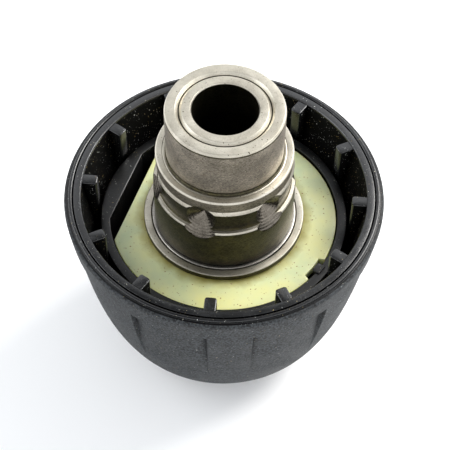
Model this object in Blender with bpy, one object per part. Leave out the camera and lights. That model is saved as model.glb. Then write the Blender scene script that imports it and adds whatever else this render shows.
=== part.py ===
"""Quick-change drill chuck for grooved hammer-drill shanks, standing on its nose.

The origin is on the axis at the front face of the dust cap. +Z runs up the axis to the rear end of
the spigot, +X to the right and +Y away from the viewer. A turned receiver carries two locking balls,
a holding plate and a cone spring. A sleeve of three pieces slides and turns around it: the inner
slider holds the hardened lock ring, the ribbed core fits round the slider, and a soft cover is
moulded over the core. Heights stack up from the nose and radii grow from the bore, so a changed size
moves everything that fits to it.
"""

import math

import bmesh
import bpy
from mathutils import Matrix, Vector

MM = 0.001

# Clearances
SEAT_GAP = 0.25 * MM  # between faces that rest on each other
RUN_GAP = 0.20 * MM  # radial, between pieces that slide or turn
PRESS_GAP = 0.15 * MM  # radial, between pieces pressed or moulded together

# Receiver, the steel tube that takes the shank
BORE_R = 5.0 * MM
FRONT_WALL = 3.8 * MM  # around the bore, in front
SPIGOT_WALL = 4.05 * MM  # around the bore, at the rear spigot
SHOULDER_STEP = 2.15 * MM  # from the spigot out to the body
BAND_STEP = 0.55 * MM  # from the body in to the band under the shoulder
LEDGE_STEP = 0.33 * MM  # from the body in to the upper ledge's lower edge
LOCK_GROOVE_DEPTH = 0.75 * MM  # from the body in to the floor of the machine's lock groove
LEDGE_CHAMFER = 0.15 * MM
END_CHAMFER = 0.15 * MM
END_CHAMFER_HEIGHT = 0.34 * MM
FOOT_GROOVE = 0.25 * MM  # width and depth of the relief at the spigot's foot
BODY_RISE = 2.83 * MM  # heights over the rim plane from here to SPIGOT_RISE
GROOVE_START_RISE = 3.15 * MM
GROOVE_END_RISE = 7.19 * MM
BAND_RISE = 7.85 * MM
SHOULDER_RISE = 10.0 * MM
SPIGOT_RISE = 19.24 * MM
STEP_BELOW_SEAT = 1.2 * MM  # the body's front shoulder, below the spring seat

# Dimples for the machine's locking balls
DIMPLE_COUNT = 6
DIMPLE_FIRST_DEG = -109.6
DIMPLE_RISE = 5.3 * MM
DIMPLE_MOUTH_R = 3.95 * MM
DIMPLE_DEPTH = 2.4 * MM
DIMPLE_OVERRUN = 1.2 * MM

# Guide bush and bore seal, pressed in from the rear
BUSH_WALL = 1.85 * MM
BUSH_LENGTH = 20.0 * MM
BUSH_CHAMFER = 0.35 * MM
BORE_BREAK = 0.1 * MM  # small bevel of the bore's rear edge
SEAL_LENGTH = 1.5 * MM
SEAL_LIP = 0.5 * MM  # how far the lip stands in front of the seal's outer wall

# Drive keys in the bore
KEY_WIDTH = 2.6 * MM
KEY_HEIGHT = 1.3 * MM  # into the bore
KEY_ROOT = 0.6 * MM  # into the wall
KEY_START = 4.5 * MM  # behind the receiver's front face
KEY_LENGTH = 18.0 * MM

# Locking balls
BALL_R = 3.5 * MM
BALL_REACH = 1.4 * MM  # into the bore at rest
BALL_LIFT = 1.5 * MM  # outwards, when the sleeve is right back
BALL_TRAVEL = 5.0 * MM  # rearwards in the slot, when a shank pushes in
WINDOW_SPARE = 0.06 * MM  # of the slot's outer window over its inner pocket
STROKE = 6.0 * MM  # of the sleeve, towards the rear

# Nose, from the standing face up
CAP_WALL = 1.2 * MM
CAP_HOLE_GAP = 0.3 * MM  # dust cap's hole over the bore
CAP_FACE_WIDTH = 3.3 * MM
CAP_SIDE_HEIGHT = 1.0 * MM
FRONT_LAND = 0.9 * MM
CAP_GROOVE_WIDTH = 1.1 * MM
CAP_GROOVE_DEPTH = 0.9 * MM
GROOVE_LAND = 0.7 * MM
FRONT_BREAK = 0.4 * MM

# Snap rings
SNAP_AXIAL = 0.8 * MM
SNAP_RADIAL = 1.4 * MM
SNAP_GROOVE_DEPTH = 0.9 * MM
SNAP_MOUTH = 3.0 * MM  # gap between a snap ring's ends
REAR_SNAP_AXIAL = 0.75 * MM
REAR_SNAP_DEPTH = 0.7 * MM
REAR_SNAP_STAND = 0.45 * MM  # how far the rear snap ring stands out of the body

# Front washer, lock ring and its clip, holding plate, spring, spring seat
WASHER_LENGTH = 1.2 * MM
WASHER_SKIRT = 0.9 * MM  # in front of the washer's seat, round the snap ring
LOCK_LEAD = 0.6 * MM  # of the ramp, past the ball at the end of the stroke
LOCK_WALL = 1.15 * MM
LIP_DEPTH = 0.45 * MM  # of the slider's lip that holds the lock ring
CLIP_HOLD = 0.6 * MM  # of the lock ring's rear face under its clip
CLIP_AXIAL = 0.8 * MM
CLIP_GROOVE_DEPTH = 0.8 * MM
PLATE_LENGTH = 1.2 * MM
WIRE_R = 0.7 * MM
SPRING_LENGTH = 8.7 * MM
SPRING_WIDEN = 2.5 * MM  # from the front coil's radius to the rear coil's
SPRING_TURNS = 3.25
SEAT_LENGTH = 0.8 * MM
SEAT_MARGIN = 0.9 * MM

# Rear disc and collar
DISC_LENGTH = 1.8 * MM
DISC_WIDTH = 6.9 * MM
DISC_FLAT_INSET = 3.3 * MM
DISC_TO_COLLAR = 0.2 * MM
NOTCH_DEG = -35.3
NOTCH_WIDTH = 4.4 * MM
NOTCH_DEPTH = 0.9 * MM
FLAT_DEG = 161.6
COLLAR_LENGTH = 1.1 * MM
COLLAR_WIDTH = 1.55 * MM
COLLAR_LIP = 0.4 * MM
COLLAR_BREAK = 0.15 * MM

# Inner slider
HUB_WALL = 1.5 * MM
HUB_FLAT_INSET = 1.43 * MM
HUB_RISE = 0.45 * MM  # over the disc
HUB_MARGIN = 0.8 * MM  # under the disc at the end of the stroke
CONE_HEIGHT = 3.2 * MM
CONE_INSET = 1.6 * MM  # of the cone's top from the hub's bore
NOSE_WALL = 1.7 * MM
NOSE_OVERLAP = 1.55 * MM  # of the slider's nose round the dust cap
SHOULDER_DROP = 1.0 * MM  # of the slider's conical shoulder, under the hub's floor
SHOULDER_HEIGHT = 5.0 * MM
TAB_WIDTH = 1.8 * MM
TAB_DEPTH = 0.7 * MM
TAB_ROOT = 0.5 * MM
TAB_RISE = 0.25 * MM  # over the hub

# Ribbed core
RIB_COUNT = 12
RIB_FIRST_DEG = -4.9
RIB_THICKNESS = 1.85 * MM
RIB_GAP = 0.35 * MM
RIB_DROP = 0.45 * MM  # under the rim plane
RIB_ROOT = 0.4 * MM
CAVITY_WIDTH = 2.75 * MM
CAVITY_DEPTH = 12.0 * MM
CAVITY_DRAFT = 1.65 * MM
RIM_RISE = 6.95 * MM  # over the disc
NOSE_STEP = 2.4 * MM  # the grip's front face, behind the slider's nose

RIM_TOP_WIDTH = 1.2 * MM

# Soft cover
BEAD_WIDTH = 0.65 * MM
BEAD_ROUND = 0.25 * MM
NECK_DROP = 0.5 * MM  # of the neck between bead and belly, under the rim plane
BELLY_STAND = 0.7 * MM  # from the bead out to the belly
BELLY_ROUND = 0.25 * MM
COVER_WALL = 1.4 * MM
COVER_FRONT_WALL = 1.2 * MM
BELLY_START = 0.9 * MM  # under the rim plane
BELLY_NOSE_MARGIN = 0.6 * MM  # of the belly's smallest radius over the slider's nose
BELLY_POWER = 1.1
BELLY_ROOT = 2.35
BELLY_INNER_END = 0.93  # share of the belly's height that the inner wall follows
FRONT_RING_WIDTH = 1.8 * MM  # of the core, seen round the slider's nose
RECESS_COUNT = 8
RECESS_FIRST_DEG = -64.7
RECESS_WIDTH_DEG = 29.0
RECESS_EDGE_DEG = 1.2
RECESS_DEPTH = 0.85 * MM  # at its sides
RECESS_CROWN = 0.55 * MM  # of its floor, which stands higher in the middle
RECESS_TOP = 4.7 * MM  # under the rim plane
RECESS_LENGTH = 17.5 * MM
RECESS_STEP = 0.7 * MM

# Where the mouths of the snap rings stand
FRONT_MOUTH_DEG = 60
CLIP_MOUTH_DEG = 120
GRIP_MOUTH_DEG = -60
REAR_MOUTH_DEG = 20

# Facets
TURNED_STEPS = 48
INNER_STEPS = 32
ROUND_STEPS = 24  # round a dimple or a ball slot
BALL_STEPS = 16
DOME_STEPS = 6
SPRING_POINTS = 40
COVER_ROWS = 7
ROW_CROWDING = 1.6  # power that brings the cover's rows together towards the front
SHARP_DEG = 30  # edges that turn by more than this stay sharp
CONE_TIP_R = 0.05 * MM
CUT_OVERRUN = 2 * MM  # of a cutter past the face that it opens

# Heights, from the nose
tube_front = CAP_WALL + SEAT_GAP
cap_groove_start = tube_front + FRONT_LAND
cap_groove_end = cap_groove_start + CAP_GROOVE_WIDTH
snap_start = cap_groove_end + GROOVE_LAND
snap_end = snap_start + SNAP_AXIAL + 2 * SEAT_GAP
washer_seat = snap_end
washer_end = washer_seat + WASHER_LENGTH
lock_start = washer_end + SEAT_GAP
ramp_slope = BALL_LIFT / STROKE
ramp_angle = math.atan(ramp_slope)
ball_rest_r = BORE_R + BALL_R - BALL_REACH
touch_r = ball_rest_r + BALL_R * math.cos(ramp_angle)
touch_z = lock_start + STROKE + LOCK_LEAD
ball_z = touch_z - BALL_R * math.sin(ramp_angle)
front_r = BORE_R + FRONT_WALL
plate_bore_r = front_r + RUN_GAP
ball_tail = math.sqrt(BALL_R**2 - (plate_bore_r - ball_rest_r) ** 2)
lock_end = ball_z + ball_tail
plate_start = lock_end + SEAT_GAP
plate_end = plate_start + PLATE_LENGTH
spring_start = plate_end + SEAT_GAP
spring_end = spring_start + SPRING_LENGTH
seat_start = spring_end + SEAT_GAP
seat_end = seat_start + SEAT_LENGTH
disc_start = seat_end + SEAT_GAP
disc_end = disc_start + DISC_LENGTH
collar_start = disc_end + DISC_TO_COLLAR
collar_end = collar_start + COLLAR_LENGTH
rim_z = disc_end + RIM_RISE
tube_end = rim_z + SPIGOT_RISE
slider_front = snap_start - NOSE_OVERLAP
grip_front = slider_front + NOSE_STEP
grip_ring_start = grip_front + SEAT_GAP
hub_end = disc_end + HUB_RISE
hub_floor = disc_start - STROKE - HUB_MARGIN
shoulder_end = hub_floor - SHOULDER_DROP
shoulder_start = shoulder_end - SHOULDER_HEIGHT

# Radii, from the bore
spigot_r = BORE_R + SPIGOT_WALL
body_r = spigot_r + SHOULDER_STEP
bush_r = BORE_R + BUSH_WALL
socket_r = bush_r + PRESS_GAP
snap_floor_r = front_r - SNAP_GROOVE_DEPTH
front_snap_r = snap_floor_r + RUN_GAP + SNAP_RADIAL
lock_front_r = touch_r + RUN_GAP / math.cos(ramp_angle) + (touch_z - lock_start) * ramp_slope
lock_rear_r = lock_front_r - (lock_end - lock_start) * ramp_slope
lock_r = lock_front_r + LOCK_WALL
lock_seat_r = lock_r + PRESS_GAP
lip_r = lock_r - LIP_DEPTH
washer_r = lip_r - RUN_GAP
cap_r = washer_r - RUN_GAP
clip_groove_r = lock_seat_r + CLIP_GROOVE_DEPTH
clip_inner_r = lock_r - CLIP_HOLD
plate_r = clip_inner_r - 2 * RUN_GAP
spring_front_r = plate_r - WIRE_R - SEAT_MARGIN
spring_rear_r = spring_front_r + SPRING_WIDEN
seat_r = spring_rear_r + WIRE_R + SEAT_MARGIN
disc_bore_r = body_r + RUN_GAP
disc_r = disc_bore_r + DISC_WIDTH
hub_bore_r = disc_r + RUN_GAP
hub_r = hub_bore_r + HUB_WALL
nose_r = lock_r + NOSE_WALL
core_bore_r = hub_r + RUN_GAP
rim_bore_r = hub_r + CAVITY_WIDTH
rim_seam_r = rim_bore_r + RIM_TOP_WIDTH
bead_r = rim_seam_r + PRESS_GAP + BEAD_WIDTH
rim_r = bead_r + BELLY_STAND
front_ring_r = nose_r + FRONT_RING_WIDTH
grip_ring_r = nose_r - SNAP_GROOVE_DEPTH + RUN_GAP
belly_nose_r = nose_r + BELLY_NOSE_MARGIN


def clear_scene():
    for old in list(bpy.data.objects):
        bpy.data.objects.remove(old, do_unlink=True)


def make_material(name, color, roughness, metallic=0.0):
    material = bpy.data.materials.new(name)
    material.use_nodes = True
    shader = material.node_tree.nodes["Principled BSDF"]
    shader.inputs["Base Color"].default_value = (*color, 1.0)
    shader.inputs["Roughness"].default_value = roughness
    shader.inputs["Metallic"].default_value = metallic
    return material


def make_empty(name, parent=None, location=(0, 0, 0)):
    empty = bpy.data.objects.new(name, None)
    empty.location = location
    empty.parent = parent
    bpy.context.scene.collection.objects.link(empty)
    return empty


def make_object(name, shape, material=None, parent=None):
    """One object from a bmesh, smooth on its round faces and sharp at its edges."""
    bmesh.ops.recalc_face_normals(shape, faces=shape.faces)
    mesh = bpy.data.meshes.new(name)
    shape.to_mesh(mesh)
    shape.free()
    mesh.shade_smooth()
    mesh.set_sharp_from_angle(angle=math.radians(SHARP_DEG))
    piece = bpy.data.objects.new(name, mesh)
    piece.parent = parent
    bpy.context.scene.collection.objects.link(piece)
    if material:
        mesh.materials.append(material)
    return piece


def make_cutter(name, shape):
    cutter = make_object(name, shape)
    cutter.hide_render = True
    cutter.display_type = "WIRE"
    return cutter


def combine(piece, other, operation):
    modifier = piece.modifiers.new(f"{operation.lower()} {other.name}", "BOOLEAN")
    modifier.operation = operation
    modifier.solver = "EXACT"
    modifier.object = other


def turned(outline, steps=TURNED_STEPS):
    """A bmesh of the closed outline of (radius, height) points, spun once round Z."""
    shape = bmesh.new()
    corners = [shape.verts.new((radius, 0, height)) for radius, height in outline]
    edges = [shape.edges.new(pair) for pair in zip(corners, corners[1:] + corners[:1])]
    bmesh.ops.spin(
        shape,
        geom=corners + edges,
        axis=(0, 0, 1),
        cent=(0, 0, 0),
        angle=math.tau,
        steps=steps,
        use_merge=True,
    )
    return shape


def prism(shape, outline, bottom, top):
    """Adds a closed block to shape: the (x, y) outline at one height, extruded to the other."""
    corners = [shape.verts.new((x, y, bottom)) for x, y in outline]
    base = shape.faces.new(corners)
    grown = bmesh.ops.extrude_face_region(shape, geom=[base])
    raised = [item for item in grown["geom"] if isinstance(item, bmesh.types.BMVert)]
    bmesh.ops.translate(shape, verts=raised, vec=(0, 0, top - bottom))


def block(shape, near, far, width, bottom, top, degrees):
    """Adds a box that runs outwards from one radius to another at an angle round Z."""
    size = Matrix.Diagonal((far - near, width, top - bottom, 1))
    place = Matrix.Translation(((near + far) / 2, 0, (bottom + top) / 2))
    turn = Matrix.Rotation(math.radians(degrees), 4, "Z")
    bmesh.ops.create_cube(shape, size=1, matrix=turn @ place @ size)


def evenly(count, first):
    return [first + 360 * index / count for index in range(count)]


def snap_ring(name, inner, outer, bottom, top, mouth_degrees, material, parent):
    """A flat ring of spring steel with a mouth cut through it."""
    ring = make_object(
        name,
        turned([(inner, bottom), (outer, bottom), (outer, top), (inner, top)], INNER_STEPS),
        material,
        parent,
    )
    mouth = bmesh.new()
    block(mouth, inner - MM, outer + MM, SNAP_MOUTH, bottom - MM, top + MM, mouth_degrees)
    combine(ring, make_cutter(f"{name}_mouth", mouth), "DIFFERENCE")
    return ring


def receiver_outline():
    """The receiver's half section, up its outside and down its bore."""
    band_r = body_r - BAND_STEP
    floor_r = body_r - LOCK_GROOVE_DEPTH
    cap_floor_r = front_r - CAP_GROOVE_DEPTH
    step_z = seat_start - STEP_BELOW_SEAT
    rear_floor_r = body_r - REAR_SNAP_DEPTH
    rear_groove_start = collar_start + COLLAR_LIP - DISC_TO_COLLAR
    rear_groove_end = rear_groove_start + REAR_SNAP_AXIAL + 2 * SEAT_GAP
    foot = rim_z + SHOULDER_RISE
    socket_start = tube_end - BUSH_LENGTH - SEAL_LENGTH - 2 * SEAT_GAP
    return [
        (BORE_R + FRONT_BREAK, tube_front),
        (front_r - FRONT_BREAK, tube_front),
        (front_r, tube_front + FRONT_BREAK),
        (front_r, cap_groove_start),
        (cap_floor_r, cap_groove_start),
        (cap_floor_r, cap_groove_end),
        (front_r, cap_groove_end),
        (front_r, snap_start),
        (snap_floor_r, snap_start),
        (snap_floor_r, snap_end),
        (front_r, snap_end),
        (front_r, step_z),
        (body_r, step_z),
        (body_r, rear_groove_start),
        (rear_floor_r, rear_groove_start),
        (rear_floor_r, rear_groove_end),
        (body_r, rear_groove_end),
        (body_r, rim_z + BODY_RISE),
        (body_r - LEDGE_CHAMFER, rim_z + GROOVE_START_RISE),
        (floor_r, rim_z + GROOVE_START_RISE),
        (floor_r, rim_z + GROOVE_END_RISE),
        (body_r - LEDGE_STEP, rim_z + GROOVE_END_RISE),
        (band_r, rim_z + BAND_RISE),
        (band_r, foot),
        (spigot_r + FOOT_GROOVE, foot),
        (spigot_r - FOOT_GROOVE, foot + FOOT_GROOVE),
        (spigot_r, foot + 2 * FOOT_GROOVE),
        (spigot_r, tube_end - END_CHAMFER_HEIGHT),
        (spigot_r - END_CHAMFER, tube_end),
        (socket_r + BUSH_CHAMFER, tube_end),
        (socket_r, tube_end - BUSH_CHAMFER),
        (socket_r, socket_start),
        (BORE_R, socket_start),
        (BORE_R, tube_front + FRONT_BREAK),
    ]


def dimple_cutter():
    """Six cones that point at the axis, each wider than its mouth where it leaves the body."""
    shape = bmesh.new()
    length = DIMPLE_DEPTH + DIMPLE_OVERRUN
    wide_r = DIMPLE_MOUTH_R * length / DIMPLE_DEPTH
    lay_down = Matrix.Rotation(math.radians(90), 4, "Y")
    centre_r = body_r - DIMPLE_DEPTH + length / 2
    place = Matrix.Translation((centre_r, 0, rim_z + DIMPLE_RISE))
    for degrees in evenly(DIMPLE_COUNT, DIMPLE_FIRST_DEG):
        turn = Matrix.Rotation(math.radians(degrees), 4, "Z")
        bmesh.ops.create_cone(
            shape,
            cap_ends=True,
            segments=ROUND_STEPS,
            radius1=CONE_TIP_R,
            radius2=wide_r,
            depth=length,
            matrix=turn @ place @ lay_down,
        )
    return make_cutter("dimple_cones", shape)


def slot_pocket_cutter():
    """Two capsules with a ball's radius and clearance, drawn out rearwards by the ball's travel."""
    shape = bmesh.new()
    for side in (1, -1):
        made = bmesh.ops.create_uvsphere(
            shape, u_segments=ROUND_STEPS, v_segments=ROUND_STEPS // 2, radius=BALL_R + RUN_GAP
        )["verts"]
        upper = [corner for corner in made if corner.co.z > CONE_TIP_R]
        bmesh.ops.translate(shape, verts=upper, vec=(0, 0, BALL_TRAVEL))
        bmesh.ops.translate(shape, verts=made, vec=(side * ball_rest_r, 0, ball_z))
    return make_cutter("slot_pockets", shape)


def slot_window_cutter():
    """Two rounded windows from the balls' centres out through the wall."""
    shape = bmesh.new()
    radius = BALL_R + RUN_GAP + WINDOW_SPARE
    half_turns = ROUND_STEPS // 2
    outline = []
    for end, start in ((BALL_TRAVEL, 0), (0, math.pi)):
        for step in range(half_turns + 1):
            angle = start + math.pi * step / half_turns
            outline.append((radius * math.cos(angle), end + radius * math.sin(angle)))
    for side in (1, -1):
        before = set(shape.verts)
        prism(shape, outline, 0, FRONT_WALL + BALL_R)
        made = [corner for corner in shape.verts if corner not in before]
        stand = Matrix(((0, 0, side, 0), (1, 0, 0, 0), (0, 1, 0, 0), (0, 0, 0, 1)))
        place = Matrix.Translation((side * ball_rest_r, 0, ball_z))
        bmesh.ops.transform(shape, verts=made, matrix=place @ stand)
    return make_cutter("slot_windows", shape)


def key_union():
    shape = bmesh.new()
    start = tube_front + KEY_START
    for degrees in (90, -90):
        near = BORE_R - KEY_HEIGHT
        block(shape, near, BORE_R + KEY_ROOT, KEY_WIDTH, start, start + KEY_LENGTH, degrees)
    return make_cutter("drive_keys", shape)


def make_receiver(parent, steel):
    receiver = make_object("receiver_tube", turned(receiver_outline()), steel, parent)
    combine(receiver, key_union(), "UNION")
    combine(receiver, dimple_cutter(), "DIFFERENCE")
    combine(receiver, slot_pocket_cutter(), "DIFFERENCE")
    combine(receiver, slot_window_cutter(), "DIFFERENCE")


def make_bush_and_seal(parent, steel, rubber):
    bush_start = tube_end - BUSH_LENGTH
    outline = [
        (BORE_R, bush_start),
        (bush_r, bush_start),
        (bush_r, tube_end - BUSH_CHAMFER),
        (bush_r - BUSH_CHAMFER, tube_end),
        (BORE_R + BORE_BREAK, tube_end),
        (BORE_R, tube_end - BORE_BREAK),
    ]
    make_object("guide_bush", turned(outline), steel, parent)
    seal_end = bush_start - SEAT_GAP
    seal_start = seal_end - SEAL_LENGTH
    outline = [
        (BORE_R + RUN_GAP, seal_start),
        (bush_r, seal_start),
        (bush_r, seal_end),
        (bush_r - SEAL_LIP, seal_end),
        (BORE_R, seal_end - SEAL_LIP),
    ]
    make_object("bore_seal", turned(outline, INNER_STEPS), rubber, parent)


def make_nose(parent, steel, spring_steel, rubber):
    """The dust cap, the front snap ring in its groove and the washer that traps it."""
    snap_inner = snap_floor_r + RUN_GAP
    ring_start = snap_start + SEAT_GAP
    ring_end = ring_start + SNAP_AXIAL
    snap_ring(
        "front_snap_ring",
        snap_inner,
        front_snap_r,
        ring_start,
        ring_end,
        FRONT_MOUTH_DEG,
        spring_steel,
        parent,
    )
    pocket_r = front_snap_r + RUN_GAP
    outline = [
        (plate_bore_r, washer_seat),
        (pocket_r, washer_seat),
        (pocket_r, washer_seat - WASHER_SKIRT),
        (washer_r, washer_seat - WASHER_SKIRT),
        (washer_r, washer_end),
        (plate_bore_r, washer_end),
    ]
    make_object("front_washer", turned(outline, INNER_STEPS), steel, parent)
    hole_r = BORE_R + CAP_HOLE_GAP
    face_r = hole_r + CAP_FACE_WIDTH
    rear = snap_start
    hook_r = front_r - CAP_GROOVE_DEPTH + RUN_GAP
    shoulder = rear - CAP_SIDE_HEIGHT
    outline = [(hole_r, 0)]
    for step in range(DOME_STEPS + 1):
        angle = math.pi / 2 * step / DOME_STEPS
        radius = face_r + (cap_r - face_r) * math.sin(angle)
        outline.append((radius, shoulder * (1 - math.cos(angle))))
    outline += [
        (cap_r, rear),
        (plate_bore_r, rear),
        (plate_bore_r, cap_groove_end - RUN_GAP),
        (hook_r, cap_groove_end - RUN_GAP),
        (hook_r, cap_groove_start + RUN_GAP),
        (plate_bore_r, cap_groove_start + RUN_GAP),
        (plate_bore_r, CAP_WALL),
        (hole_r, CAP_WALL),
    ]
    make_object("dust_cap", turned(outline, INNER_STEPS), rubber, parent)


def make_lock(sleeve, plate_path, hardened, spring_steel):
    """The lock ring with its conical ramp, the clip behind it and the holding plate."""
    outline = [
        (lock_front_r, lock_start),
        (lock_r, lock_start),
        (lock_r, lock_end),
        (lock_rear_r, lock_end),
    ]
    make_object("lock_ring", turned(outline, INNER_STEPS), hardened, sleeve)
    clip_start = lock_end + SEAT_GAP
    clip_r = clip_groove_r - RUN_GAP
    snap_ring(
        "lock_ring_clip",
        clip_inner_r,
        clip_r,
        clip_start,
        clip_start + CLIP_AXIAL,
        CLIP_MOUTH_DEG,
        spring_steel,
        sleeve,
    )
    outline = [
        (plate_bore_r, plate_start),
        (plate_r, plate_start),
        (plate_r, plate_end),
        (plate_bore_r, plate_end),
    ]
    make_object("holding_plate", turned(outline, INNER_STEPS), hardened, plate_path)


def make_ball(name, path, steel):
    shape = bmesh.new()
    bmesh.ops.create_uvsphere(shape, u_segments=BALL_STEPS, v_segments=BALL_STEPS // 2, radius=BALL_R)
    make_object(name, shape, steel, path)


def make_spring(parent, spring_steel):
    """A cone coil: the radius grows evenly with the turn, and the height eases in and out."""
    count = SPRING_POINTS
    curve = bpy.data.curves.new("lock_spring", "CURVE")
    curve.dimensions = "3D"
    curve.bevel_depth = WIRE_R
    curve.bevel_resolution = 1
    curve.use_fill_caps = True
    curve.materials.append(spring_steel)
    line = curve.splines.new("POLY")
    line.points.add(count - 1)
    rise = SPRING_LENGTH - 2 * WIRE_R
    for index, point in enumerate(line.points):
        share = index / (count - 1)
        angle = math.tau * SPRING_TURNS * share
        radius = spring_front_r + SPRING_WIDEN * share
        height = spring_start + WIRE_R + rise * (3 * share**2 - 2 * share**3)
        point.co = (radius * math.cos(angle), radius * math.sin(angle), height, 1)
    spring = bpy.data.objects.new("lock_spring", curve)
    spring.parent = parent
    bpy.context.scene.collection.objects.link(spring)


def make_rear(parent, disc_turn, steel, spring_steel, nylon):
    """The spring seat, the nylon disc that guides the sleeve, the collar and its snap ring."""
    outline = [
        (disc_bore_r, seat_start),
        (seat_r, seat_start),
        (seat_r, seat_end),
        (disc_bore_r, seat_end),
    ]
    make_object("spring_seat", turned(outline, INNER_STEPS), steel, parent)

    outline = [
        (disc_bore_r, disc_start),
        (disc_r, disc_start),
        (disc_r, disc_end),
        (disc_bore_r, disc_end),
    ]
    disc = make_object("rear_disc", turned(outline), nylon, disc_turn)
    cuts = bmesh.new()
    low = disc_start - MM
    high = disc_end + MM
    block(cuts, disc_r - DISC_FLAT_INSET, disc_r + MM, 2 * disc_r, low, high, FLAT_DEG)
    block(cuts, disc_r - NOTCH_DEPTH, disc_r + MM, NOTCH_WIDTH, low, high, NOTCH_DEG)
    combine(disc, make_cutter("disc_flat_and_notch", cuts), "DIFFERENCE")

    pocket_r = body_r + REAR_SNAP_STAND + PRESS_GAP
    collar_r = disc_bore_r + COLLAR_WIDTH
    outline = [
        (disc_bore_r, collar_start),
        (collar_r, collar_start),
        (collar_r, collar_end - COLLAR_BREAK),
        (collar_r - COLLAR_BREAK, collar_end),
        (pocket_r, collar_end),
        (pocket_r, collar_start + COLLAR_LIP),
        (disc_bore_r, collar_start + COLLAR_LIP),
    ]
    make_object("rear_collar", turned(outline), steel, parent)
    ring_start = collar_start + COLLAR_LIP + PRESS_GAP
    inner = body_r - REAR_SNAP_DEPTH + PRESS_GAP
    outer = body_r + REAR_SNAP_STAND
    ring_end = ring_start + REAR_SNAP_AXIAL
    snap_ring(
        "rear_snap_ring", inner, outer, ring_start, ring_end, REAR_MOUTH_DEG, spring_steel, parent
    )


def hub_bore_cutter():
    """The hub's bore, round but for one flat, from its floor out through the rear."""
    flat = hub_bore_r - HUB_FLAT_INSET
    half_angle = math.acos(flat / hub_bore_r)
    middle = math.radians(FLAT_DEG)
    steps = TURNED_STEPS
    span = math.tau - 2 * half_angle
    outline = []
    for step in range(steps + 1):
        angle = middle + half_angle + span * step / steps
        outline.append((hub_bore_r * math.cos(angle), hub_bore_r * math.sin(angle)))
    shape = bmesh.new()
    prism(shape, outline, hub_floor, hub_end + CUT_OVERRUN)
    return make_cutter("hub_bore", shape)


def make_slider(sleeve, plastic):
    clip_start = lock_end + SEAT_GAP - PRESS_GAP
    clip_end = clip_start + CLIP_AXIAL + 2 * PRESS_GAP
    groove_r = nose_r - SNAP_GROOVE_DEPTH
    cone_r = hub_bore_r - CONE_INSET
    outline = [
        (lip_r, slider_front),
        (nose_r, slider_front),
        (nose_r, grip_ring_start - PRESS_GAP),
        (groove_r, grip_ring_start - PRESS_GAP),
        (groove_r, grip_ring_start + SNAP_AXIAL + PRESS_GAP),
        (nose_r, grip_ring_start + SNAP_AXIAL + PRESS_GAP),
        (nose_r, shoulder_start),
        (hub_r, shoulder_end),
        (hub_r, hub_end),
        (cone_r, hub_end),
        (cone_r, hub_floor),
        (lock_seat_r, hub_floor - CONE_HEIGHT),
        (lock_seat_r, clip_end),
        (clip_groove_r, clip_end),
        (clip_groove_r, clip_start),
        (lock_seat_r, clip_start),
        (lock_seat_r, lock_start - SEAT_GAP),
        (lip_r, lock_start - SEAT_GAP),
    ]
    slider = make_object("inner_slider", turned(outline), plastic, sleeve)
    combine(slider, hub_bore_cutter(), "DIFFERENCE")
    tab = bmesh.new()
    near = hub_bore_r - TAB_DEPTH
    far = hub_bore_r + TAB_ROOT
    block(tab, near, far, TAB_WIDTH, hub_floor - TAB_ROOT, hub_end + TAB_RISE, NOTCH_DEG)
    combine(slider, make_cutter("key_tab", tab), "UNION")


def belly_r(drop):
    """Outer radius of the grip at a drop under the rim plane: a rounded power curve to the front."""
    length = rim_z - grip_front - BELLY_START
    share = min(max((drop - BELLY_START) / length, 0), 1)
    width = rim_r - belly_nose_r
    return belly_nose_r + width * (1 - share**BELLY_POWER) ** (1 / BELLY_ROOT)


def belly_drops(end_share):
    """Drops under the rim plane, closer together towards the front."""
    length = rim_z - grip_front - BELLY_START
    shares = [1 - (1 - index / COVER_ROWS) ** ROW_CROWDING for index in range(COVER_ROWS + 1)]
    return [BELLY_START + length * share * end_share for share in shares]


def belly_end_share():
    """Share of the belly's height at which it meets the core's front ring."""
    meet = (front_ring_r + PRESS_GAP - belly_nose_r) / (rim_r - belly_nose_r)
    return (1 - meet**BELLY_ROOT) ** (1 / BELLY_POWER)


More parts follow.
